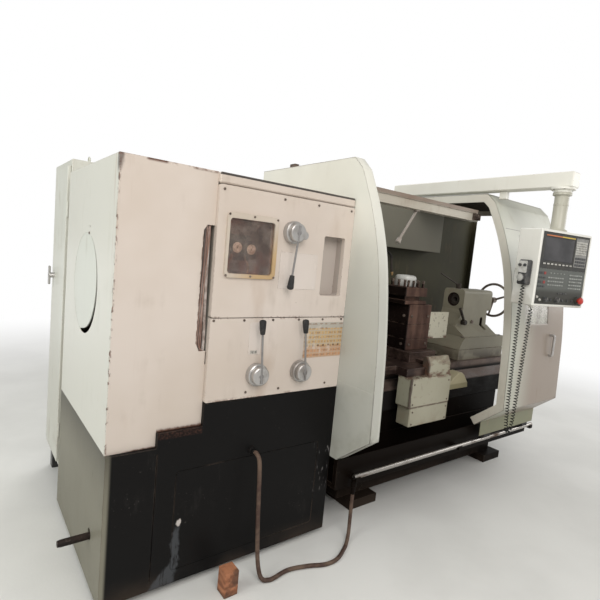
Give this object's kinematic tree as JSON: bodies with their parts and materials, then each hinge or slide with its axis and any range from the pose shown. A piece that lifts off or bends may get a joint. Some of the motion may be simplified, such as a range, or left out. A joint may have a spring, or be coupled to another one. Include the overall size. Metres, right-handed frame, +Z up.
{
  "type": "cnc turning lathe",
  "caption": "CNC turning lathe with gear headstock, flat bed, four-way turret, tailstock, sliding curved guard and a swinging operator pendant",
  "frame": {"origin": "centre of the footprint on the floor", "axes": "+X from the headstock to the tailstock, -Y is the operator's side, +Z up"},
  "size_m": [3.916, 2.2389, 2.355],
  "materials": {
    "white_paint": "satin, yellowed, chipped",
    "green_white_paint": "satin",
    "shaded_guard_paint": "matt with oil film",
    "black_paint": "satin, scratched",
    "grey_casting_paint": "satin",
    "bright_steel": "worn",
    "oiled_way_steel": "oiled",
    "chrome": "polished",
    "oily_tool_steel": "brown with oil and rust",
    "black_rubber": "matt",
    "black_plastic": "matt",
    "panel_grey": "matt",
    "red_button": "gloss",
    "dark_glass": "clear, dirty",
    "yellowed_plastic": "aged",
    "timber": "rough",
    "hose_cover": "matt"
  },
  "bodies": {
    "frame": {"plinth": "black_paint", "lifting_bar": "oily_tool_steel", "packing_block": "timber", "bed": "oiled_way_steel", "bed_pedestal": "black_paint", "chip_tray": "black_paint", "lower_rail": "chrome", "headstock_casting": "grey_casting_paint", "headstock_lid": "white_paint", "upper_panel": "white_paint", "lower_panel": "white_paint", "window_frame": "yellowed_plastic", "window_pane": "dark_glass", "gauge_cluster": "black_plastic", "end_cover": "white_paint", "round_cover": "white_paint", "slot_cable": "hose_cover", "slot_hose": "bright_steel", "left_guard": "green_white_paint", "rear_guard": "shaded_guard_paint", "header_beam": "white_paint", "pendant_arm": "white_paint", "cabinet": "white_paint", "floor_hose": "hose_cover"},
    "range_lever_body": {"range_lever": "bright_steel"},
    "speed_lever_left_body": {"speed_lever_left": "bright_steel"},
    "speed_lever_right_body": {"speed_lever_right": "bright_steel"},
    "spindle_body": {"spindle": "bright_steel", "chuck_body": "bright_steel"},
    "jaw_1_body": {"chuck_jaw_1": "bright_steel"},
    "jaw_2_body": {"chuck_jaw_2": "bright_steel"},
    "jaw_3_body": {"chuck_jaw_3": "bright_steel"},
    "door_body": {"door_shell": "green_white_paint", "door_window": "dark_glass"},
    "carriage_body": {"saddle": "oily_tool_steel", "apron": "white_paint"},
    "cross_slide_body": {"cross_slide": "oily_tool_steel", "tool_column": "oily_tool_steel", "guard_plate": "white_paint", "coolant_hose": "black_rubber"},
    "turret_body": {"turret": "oily_tool_steel", "turret_cap": "white_paint"},
    "tailstock_main": {"tailstock_base": "grey_casting_paint", "tailstock_body": "grey_casting_paint"},
    "quill_body": {"quill": "bright_steel"},
    "handwheel_body": {"tail_handwheel": "bright_steel"},
    "quill_lock_body": {"quill_lock": "oily_tool_steel"},
    "clamp_lever_body": {"clamp_lever": "oily_tool_steel"},
    "pendant_body": {"pendant_column": "white_paint", "pendant_case": "white_paint", "screen_unit": "panel_grey", "control_panel": "panel_grey", "grab_handle": "chrome", "hand_unit": "black_plastic", "hand_unit_cord": "black_rubber"},
    "knob_1_body": {"selector_knob_1": "black_plastic"},
    "knob_2_body": {"selector_knob_2": "black_plastic"},
    "stop_button_body": {"stop_button": "red_button"},
    "cabinet_door_body": {"cabinet_door": "white_paint"},
    "cabinet_handle_body": {"cabinet_handle": "bright_steel"}
  },
  "joints": [
    {"name": "range_lever_turn", "type": "hinge", "parent": "frame", "child": "range_lever_body", "pos_m": [-0.96, -0.4996, 1.766], "axis": [0, 1, 0], "range_deg": [-35, 35]},
    {"name": "speed_lever_left_turn", "type": "hinge", "parent": "frame", "child": "speed_lever_left_body", "pos_m": [-1.112, -0.4996, 1.036], "axis": [0, 1, 0], "range_deg": [-30, 20]},
    {"name": "speed_lever_right_turn", "type": "hinge", "parent": "frame", "child": "speed_lever_right_body", "pos_m": [-0.838, -0.4996, 1.033], "axis": [0, 1, 0], "range_deg": [-20, 30]},
    {"name": "spindle_turn", "type": "hinge", "parent": "frame", "child": "spindle_body", "pos_m": [-0.462, -0.009, 1.39], "axis": [1, 0, 0], "continuous": true},
    {"name": "jaw_1_slide", "type": "slide", "parent": "spindle_body", "child": "jaw_1_body", "axis": [0, 0, 1], "range_m": [-0.012, 0.012]},
    {"name": "jaw_2_slide", "type": "slide", "parent": "spindle_body", "child": "jaw_2_body", "axis": [0, -0.866, -0.5], "range_m": [-0.0121, 0.0121]},
    {"name": "jaw_3_slide", "type": "slide", "parent": "spindle_body", "child": "jaw_3_body", "axis": [0, 0.866, -0.5], "range_m": [-0.0121, 0.0121]},
    {"name": "door_slide", "type": "slide", "parent": "frame", "child": "door_body", "axis": [1, 0, 0], "range_m": [-1.28, 0]},
    {"name": "carriage_slide", "type": "slide", "parent": "frame", "child": "carriage_body", "axis": [1, 0, 0], "range_m": [-0.42, 0.28]},
    {"name": "cross_slide_move", "type": "slide", "parent": "carriage_body", "child": "cross_slide_body", "axis": [0, 1, 0], "range_m": [-0.1, 0.12]},
    {"name": "turret_index", "type": "hinge", "parent": "cross_slide_body", "child": "turret_body", "pos_m": [0.368, -0.154, 1.37], "axis": [0, 0, 1], "continuous": true},
    {"name": "tailstock_slide", "type": "slide", "parent": "frame", "child": "tailstock_main", "axis": [1, 0, 0], "range_m": [-0.15, 0.08]},
    {"name": "handwheel_turn", "type": "hinge", "parent": "tailstock_main", "child": "handwheel_body", "pos_m": [1.868, -0.009, 1.39], "axis": [1, 0, 0], "range_deg": [0, 10800]},
    {"name": "quill_feed", "type": "slide", "parent": "tailstock_main", "child": "quill_body", "axis": [-1, 0, 0], "range_m": [0, 0.1801]},
    {"name": "quill_lock_turn", "type": "hinge", "parent": "tailstock_main", "child": "quill_lock_body", "pos_m": [1.268, -0.009, 1.4856], "axis": [0, 0, 1], "range_deg": [-50, 50]},
    {"name": "clamp_lever_turn", "type": "hinge", "parent": "tailstock_main", "child": "clamp_lever_body", "pos_m": [1.229, -0.1146, 1.2], "axis": [0, 1, 0], "range_deg": [-30, 60]},
    {"name": "pendant_swivel", "type": "hinge", "parent": "frame", "child": "pendant_body", "pos_m": [0.878, -0.964, 1.965], "axis": [0, 0, 1], "range_deg": [-10, 30]},
    {"name": "knob_1_turn", "type": "hinge", "parent": "pendant_body", "child": "knob_1_body", "pos_m": [0.72152, -1.01643, 1.515], "axis": [-0.1736, -0.9848, 0], "range_deg": [-120, 120]},
    {"name": "knob_2_turn", "type": "hinge", "parent": "pendant_body", "child": "knob_2_body", "pos_m": [0.8397, -1.03727, 1.515], "axis": [-0.1736, -0.9848, 0], "range_deg": [-120, 120]},
    {"name": "stop_button_press", "type": "slide", "parent": "pendant_body", "child": "stop_button_body", "axis": [0.1736, 0.9848, 0], "range_m": [0, 0.006]},
    {"name": "cabinet_door_swing", "type": "hinge", "parent": "frame", "child": "cabinet_door_body", "pos_m": [-1.8135, 0.5935, 1.15], "axis": [0, 0, 1], "range_deg": [0, 100]},
    {"name": "cabinet_handle_turn", "type": "hinge", "parent": "cabinet_door_body", "child": "cabinet_handle_body", "pos_m": [-1.8221, 0.921, 1.376], "axis": [-1, 0, 0], "range_deg": [0, 90]}
  ],
  "couplings": [
    {"joint": "jaw_2_slide", "follows": "jaw_1_slide", "ratio": 1},
    {"joint": "jaw_3_slide", "follows": "jaw_1_slide", "ratio": 1},
    {"joint": "quill_feed", "follows": "handwheel_turn", "m_per_rad": 0.00095493}
  ]
}
